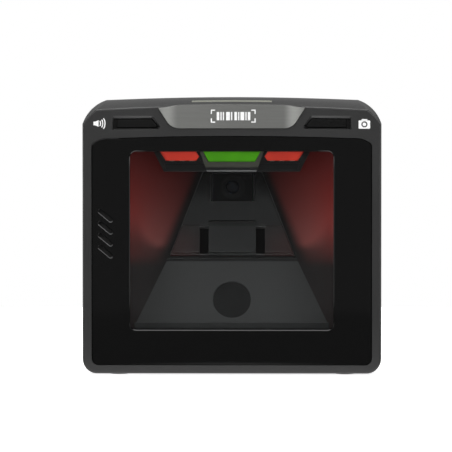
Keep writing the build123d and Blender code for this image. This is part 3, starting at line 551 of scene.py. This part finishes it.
def foil(name):
    """Matt silver label stock."""
    f = Finish(name)
    fleck = f.noise(1500.0, 3.0, 0.6)
    cloudy = f.noise(40.0, 2.0)
    return f.done(
        f.principled(
            Base_Color=f.mix(f.remap(cloudy, 0.3, 0.7), grey(0.30), grey(0.34)),
            Roughness=f.remap(fleck, 0.2, 0.8, 0.36, 0.5),
            Metallic=0.5,
            Normal=f.bump(fleck, 0.2, 0.02 * MM),
        )
    )


def printed(name, colour):
    """Ink with faint flecks."""
    f = Finish(name)
    fleck = f.noise(2500.0, 2.0)
    base = f.mix(f.remap(fleck, 0.55, 0.75), colour, grey(0.9 * colour[0]))
    return f.done(f.principled(Base_Color=base, Roughness=0.5))


FINISHES = {
    "housing": moulded("housing plastic", grey(0.0163), 0.50, rim=FRONT),
    "mask": mask_gloss("mask gloss black"),
    "pane": clear_pane("scan window"),
    "gasket": soft_rubber("gasket foam", grey(0.012)),
    "badge": badge_metal("nameplate silver"),
    "light_pipe": frosted("status light pipe", rgb(0.16, 0.164, 0.134), 0.10),
    "key": moulded("key plastic", grey(0.0022), 0.30, 0.02, sheen=0.3),
    "chamber": chamber_skin("chamber plastic"),
    "deck": deck_plastic("deck plastic", 0.020),
    "dark_window": polished("sensor window", grey(0.017), 0.3, 0.08),
    "red_lens": lens("red lens", rgb(0.30, 0.02, 0.01), rgb(1.0, 0.062, 0.035), 0.36, RED_ENDS),
    "green_lens": lens("green lens", rgb(0.03, 0.16, 0.003), rgb(0.20, 1.0, 0.0), 0.195, GREEN_ENDS),
    "seal": soft_rubber("seal rubber", grey(0.008)),
    "foot": soft_rubber("foot rubber", grey(0.010)),
    "insert": satin_metal("insert brass", rgb(0.72, 0.50, 0.22), 0.28),
    "screw": satin_metal("screw steel", grey(0.42), 0.30),
    "circuit_board": circuit("circuit board"),
    "chip": moulded("chip package", grey(0.012), 0.45, 0.02),
    "capacitor": satin_metal("capacitor can", grey(0.55), 0.30),
    "shield": satin_metal("shield can", grey(0.60), 0.32),
    "connector": moulded("connector nylon", rgb(0.62, 0.58, 0.47), 0.45, 0.02),
    "socket": moulded("socket plastic", grey(0.010), 0.40, 0.02),
    "contact": satin_metal("gold contacts", rgb(0.83, 0.58, 0.22), 0.22),
    "wire": soft_rubber("cable jacket", grey(0.02)),
    "flat_cable": polished("flat cable film", rgb(0.30, 0.12, 0.03), 0.2),
    "lens_barrel": satin_metal("anodised barrel", grey(0.012), 0.35, 0.6),
    "lens_glass": polished("camera lens", rgb(0.004, 0.006, 0.010)),
    "camera": moulded("camera body", grey(0.005), 0.5, 0.02, sheen=0.2),
    "cloth": woven("speaker mesh", grey(0.02)),
    "speaker_basket": moulded("speaker frame", grey(0.015), 0.5, 0.02),
    "cone": soft_rubber("speaker cone", rgb(0.05, 0.045, 0.04)),
    "light": frosted("light emitters", rgb(0.75, 0.72, 0.55), 0.3),
}
SLOTS = {entry["node"]: entry["material_slot"] for entry in frame["record"]["subparts"]}


def dress(node, finish):
    """Gives a CAD node its finish."""
    obj = frame["nodes"][node]
    obj.data.materials.clear()
    obj.data.materials.append(finish)
    for polygon in obj.data.polygons:
        polygon.material_index = 0


for name in frame["nodes"]:
    dress(name, FINISHES[SLOTS[name]])
dress("light_bar_housing", bar_plastic("light bar plastic"))


# ---- Printed marks ----

PRINT_THICK = 0.04  # mm that a print stands proud of its face
PRINT_SUNK = 0.02  # mm that it reaches into the face
BASE_Z = BEZEL_LOW[2] / MM
SIGN_Z = BASE_Z + 127.3
VOLUME_X = -70.4
CAMERA_X, CAMERA_Z = 67.5, SIGN_Z - 0.3
MARK_X, MARK_Z = 0.8, BASE_Z + 131.2
# the scanning sign's bars, each (width, gap after it)
BARS = ((1.3, 0.6), (0.6, 0.6), (0.6, 1.1), (1.9, 0.6), (0.6, 1.1))
BARS += ((1.3, 0.6), (0.6, 0.6), (1.9, 0.6), (0.6, 0.6), (1.3, 0))
INK = printed("white ink", grey(0.86))


def print_on(name, shapes, front, finish, thick=PRINT_THICK):
    """Flat shapes given as closed outlines (x, z) in millimetres, printed on a face that looks along -Y."""
    mesh = bpy.data.meshes.new(name)
    work = bmesh.new()
    for outline in shapes:
        near = [work.verts.new((x * MM, front - thick * MM, z * MM)) for x, z in outline]
        far = [work.verts.new((x * MM, front + PRINT_SUNK * MM, z * MM)) for x, z in outline]
        work.faces.new(near)
        work.faces.new(far[::-1])
        count = len(outline)
        for i in range(count):
            work.faces.new((near[i], far[i], far[(i + 1) % count], near[(i + 1) % count]))
    bmesh.ops.recalc_face_normals(work, faces=work.faces)
    work.to_mesh(mesh)
    work.free()
    obj = bpy.data.objects.new(name, mesh)
    bpy.context.collection.objects.link(obj)
    mesh.materials.append(finish)
    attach(obj, HOST)


def bar(x0, x1, z0, z1):
    return [(x0, z0), (x1, z0), (x1, z1), (x0, z1)]


def arc(x, z, radius, start, end, steps):
    """Points on a circle between two angles in degrees."""
    turns = [math.radians(start + (end - start) * i / steps) for i in range(steps + 1)]
    return [(x + radius * math.cos(turn), z + radius * math.sin(turn)) for turn in turns]


def arc_band(x, z, radius, width, start, end, steps=18):
    """A curved stroke: part of a ring between two angles in degrees."""
    outer = arc(x, z, radius + width / 2, start, end, steps)
    inner = arc(x, z, radius - width / 2, start, end, steps)
    return outer + inner[::-1]


def rounded(x0, x1, z0, z1, radius, steps=6):
    """A rectangle with rounded corners, from the upper right one onwards."""
    corners = ((x1 - radius, z1 - radius), (x0 + radius, z1 - radius))
    corners += ((x0 + radius, z0 + radius), (x1 - radius, z0 + radius))
    points = []
    for quarter, (x, z) in enumerate(corners):
        points += arc(x, z, radius, 90 * quarter, 90 * quarter + 90, steps)
    return points


def loudspeaker(x, z):
    """A loudspeaker with three sound waves, its left edge at x."""
    box, mouth, neck, rim, stroke = 0.95, 1.7, 1.0, 2.6, 0.52
    horn = [(x, z + box), (x, z - box), (x + neck, z - box)]
    horn += [(x + rim, z - mouth), (x + rim, z + mouth), (x + neck, z + box)]
    shapes = [horn]
    for radius, reach in ((2.6, 30), (3.75, 32), (4.9, 33)):
        shapes.append(arc_band(x + neck, z, radius, stroke, -reach, reach))
    return shapes


def camera_sign(x, z):
    """A camera seen from the front; its lens ring is printed over it in the casing's colour."""
    body = rounded(x - 2.95, x + 2.95, z - 2.2, z + 2.0, 0.5)
    hump = [(x - 1.8, z + 1.9), (x + 1.8, z + 1.9), (x + 1.25, z + 2.65), (x - 1.25, z + 2.65)]
    return [body, hump]


def scan_mark(x, z):
    """A generic sign for scanning: a row of bars between four corner brackets."""
    half_w, half_h, arm, line = 11.4, 3.3, 2.2, 0.55
    bars_left, bar_half = 8.4, 2.1
    marks = []
    for sx in (-1, 1):
        for sz in (-1, 1):
            cx, cz = x + sx * half_w, z + sz * half_h
            marks.append(bar(*sorted((cx, cx - sx * arm)), *sorted((cz, cz - sz * line))))
            marks.append(bar(*sorted((cx, cx - sx * line)), *sorted((cz - sz * line, cz - sz * arm))))
    at = x - bars_left
    for width, gap in BARS:
        marks.append(bar(at, at + width, z - bar_half, z + bar_half))
        at += width + gap
    return marks


def rating_label():
    """A blank silver label in the recess at the back, with an empty frame and two empty fields."""
    recess, middle = HOUSING_HIGH[1] - 0.5 * MM, HOUSING_LOW[2] / MM + 80.0
    half_w, half_h, line = 27.5, 15.4, 0.15
    divide_x, divide_z = 4.0, 4.6
    sheet = rounded(-30.2, 30.2, middle - 18.2, middle + 18.2, 2.0)
    rules = []
    for z in (-half_h, divide_z, half_h):
        rules.append(bar(-half_w, half_w, middle + z - line, middle + z + line))
    for x, top in ((-half_w, half_h), (half_w, half_h), (divide_x, divide_z)):
        rules.append(bar(x - line, x + line, middle - half_h, middle + top))
    print_on("rating_label", [sheet], recess + 0.1 * MM, foil("label foil"), 0.0)
    print_on("rating_label_rules", rules, recess + 0.13 * MM, FINISHES["key"], 0.0)


lens_ring = [arc_band(CAMERA_X, CAMERA_Z, 1.25, 0.6, start, start + 180) for start in (0, 180)]
print_on("volume_sign", loudspeaker(VOLUME_X, SIGN_Z + 0.2), FRONT, INK)
print_on("camera_sign", camera_sign(CAMERA_X, CAMERA_Z), FRONT, INK)
print_on("camera_sign_ring", lens_ring, FRONT - PRINT_THICK * MM, FINISHES["housing"], 0.02)
print_on("nameplate_mark", scan_mark(MARK_X, MARK_Z), PLATE_LOW[1], INK)
rating_label()


# ---- Stage, lights and camera ----

HORIZON = 0.13
ZENITH = 0.55
FLOOR_RADIUS = 0.60
NEAR_FLOOR = 0.078  # gloss on the scanner reflects the floor only up to here
FLOOR_SEEN = 0.82
FLOOR_GIVEN = 0.62
SENSOR = 36.0
DISTANCE = 1.10
VIEW_WIDTH = 0.2302
AIM_HEIGHT = 0.0761
ELEVATION = math.radians(1.0)
TURN = math.radians(0.8)
SIDE_SHIFT = -0.0125
# each (name, place, height of its aim, size, watts)
LIGHTS = (
    ("overhead", (0.0, -0.16, 0.95), 0.08, (1.2, 0.5), 6.5),
    ("front", (0.0, -1.10, 0.55), 0.07, (1.3, 0.4), 3.0),
    ("back", (0.0, 1.20, 0.70), 0.07, (1.2, 0.6), 0.8),
    ("left side", (-0.9, -0.25, 0.35), 0.07, (0.9, 0.9), 3.0),
    ("right side", (0.9, -0.25, 0.35), 0.07, (0.9, 0.9), 3.15),
)


def look_at(obj, place, aim):
    obj.location = place
    obj.rotation_euler = (Vector(aim) - Vector(place)).to_track_quat("-Z", "Y").to_euler()
    bpy.context.collection.objects.link(obj)


def area_light(name, place, aim_height, size, power):
    data = bpy.data.lights.new(name, "AREA")
    data.shape = "RECTANGLE"
    data.size, data.size_y = size
    data.energy = power
    look_at(bpy.data.objects.new(name, data), place, (0, 0, aim_height))


def floor():
    """A pale disc under the scanner; gloss on the scanner reflects only the part close by."""
    mesh = bpy.data.meshes.new("floor")
    shape = bmesh.new()
    bmesh.ops.create_circle(shape, cap_ends=True, segments=96, radius=FLOOR_RADIUS)
    shape.to_mesh(mesh)
    shape.free()
    obj = bpy.data.objects.new("floor", mesh)
    bpy.context.collection.objects.link(obj)
    f = Finish("floor white")
    base = f.mix(f.remap(f.noise(8.0), 0.3, 0.7), grey(0.80), grey(0.82))
    ray = f.add("LightPath").outputs
    shine = f.remap(ray["Is Camera Ray"], 0.0, 1.0, FLOOR_GIVEN, FLOOR_SEEN)
    white = f.principled(Base_Color=base, Roughness=0.9, Emission_Color=grey(1.0), Emission_Strength=shine)
    dim = f.add("Emission", {"Color": grey(1.0), "Strength": 0.08}).outputs[0]
    reach = f.add("VectorMath", {0: f.place}, operation="LENGTH").outputs["Value"]
    far = f.remap(reach, NEAR_FLOOR, NEAR_FLOOR + 0.05, smooth=True)
    mirrored = f.product(ray["Is Glossy Ray"], far)
    mesh.materials.append(f.done(f.add("MixShader", {0: mirrored, 1: white, 2: dim}).outputs[0]))


def world():
    """White to the eye; the light it gives is dim at the horizon and brighter overhead."""
    sky = bpy.data.worlds.new("studio")
    bpy.context.scene.world = sky
    sky.use_nodes = True
    tree = sky.node_tree
    tree.nodes.clear()
    place, split, climb, seen, lit, ray, blend, out = (
        tree.nodes.new(kind)
        for kind in (
            "ShaderNodeTexCoord",
            "ShaderNodeSeparateXYZ",
            "ShaderNodeMapRange",
            "ShaderNodeBackground",
            "ShaderNodeBackground",
            "ShaderNodeLightPath",
            "ShaderNodeMixShader",
            "ShaderNodeOutputWorld",
        )
    )
    climb.interpolation_type = "SMOOTHSTEP"
    for name, value in (("From Min", 0.1), ("From Max", 0.8), ("To Min", HORIZON), ("To Max", ZENITH)):
        climb.inputs[name].default_value = value
    for background in (seen, lit):
        background.inputs["Color"].default_value = grey(1.0)
    for output, socket in (
        (place.outputs["Generated"], split.inputs[0]),
        (split.outputs["Z"], climb.inputs["Value"]),
        (climb.outputs["Result"], lit.inputs["Strength"]),
        (ray.outputs["Is Camera Ray"], blend.inputs[0]),
        (lit.outputs[0], blend.inputs[1]),
        (seen.outputs[0], blend.inputs[2]),
        (blend.outputs[0], out.inputs[0]),
    ):
        tree.links.new(output, socket)


def camera():
    data = bpy.data.cameras.new("camera")
    data.sensor_width = SENSOR
    data.lens = SENSOR * DISTANCE / VIEW_WIDTH
    data.shift_x = SIDE_SHIFT
    obj = bpy.data.objects.new("camera", data)
    aim = Vector((0, FRONT, AIM_HEIGHT))
    level = math.cos(ELEVATION)
    away = Vector((level * math.sin(TURN), -level * math.cos(TURN), math.sin(ELEVATION)))
    look_at(obj, aim + DISTANCE * away, aim)
    bpy.context.scene.camera = obj


bpy.context.scene.view_settings.view_transform = "Standard"
floor()
world()
camera()
for light in LIGHTS:
    area_light(*light)
